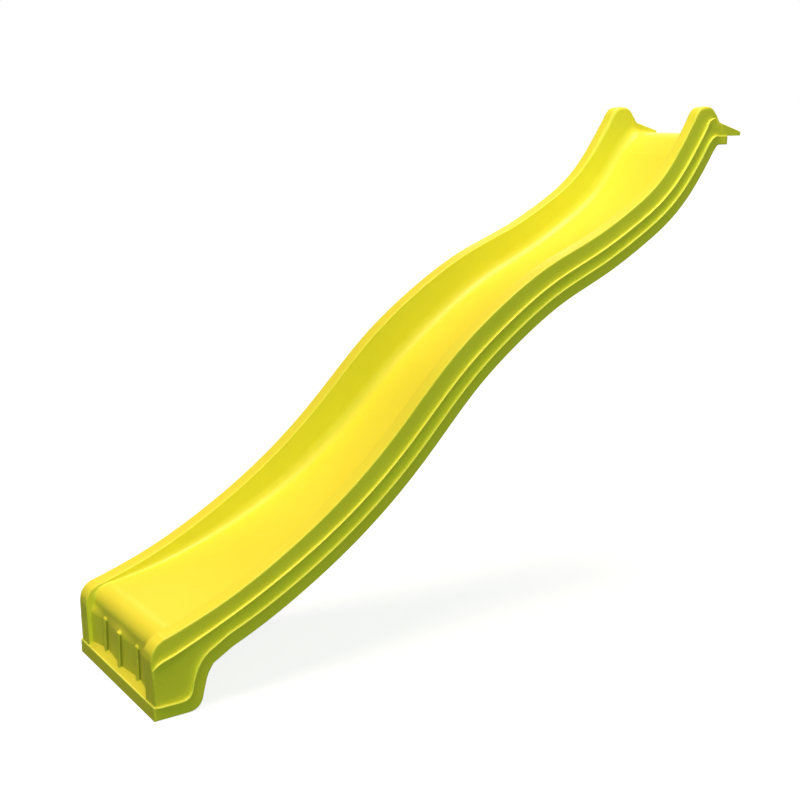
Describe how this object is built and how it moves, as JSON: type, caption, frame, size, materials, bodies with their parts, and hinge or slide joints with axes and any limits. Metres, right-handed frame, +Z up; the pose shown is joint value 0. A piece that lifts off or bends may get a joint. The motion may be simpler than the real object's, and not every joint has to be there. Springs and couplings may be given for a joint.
{
  "type": "playground slide",
  "caption": "Straight slide chute with a wavy bed between raised side walls, a boxed foot that stands on the ground, and a tongue that rests on a platform.",
  "frame": {"origin": "on the flat underside of the top tongue, on the centre plane, midway between the hook block's rear face and the tongue's rear edge", "axes": "+Z up; +Y horizontally from the foot to the platform; +X to the right as seen from the foot, across the slide"},
  "size_m": [0.5388, 2.098, 1.54],
  "materials": {
    "yellow_plastic": "satin moulded polyethylene",
    "underside_plastic": "matt moulded polyethylene",
    "zinc_washer": "zinc plated",
    "zinc_screw": "zinc plated"
  },
  "bodies": {
    "root": {"upper_skin": "yellow_plastic", "underside_skin": "underside_plastic", "tongue_washer_1": "zinc_washer", "tongue_washer_2": "zinc_washer", "tongue_washer_3": "zinc_washer", "tongue_washer_4": "zinc_washer", "tongue_screw_1": "zinc_screw", "tongue_screw_2": "zinc_screw", "tongue_screw_3": "zinc_screw", "tongue_screw_4": "zinc_screw"}
  },
  "joints": []
}
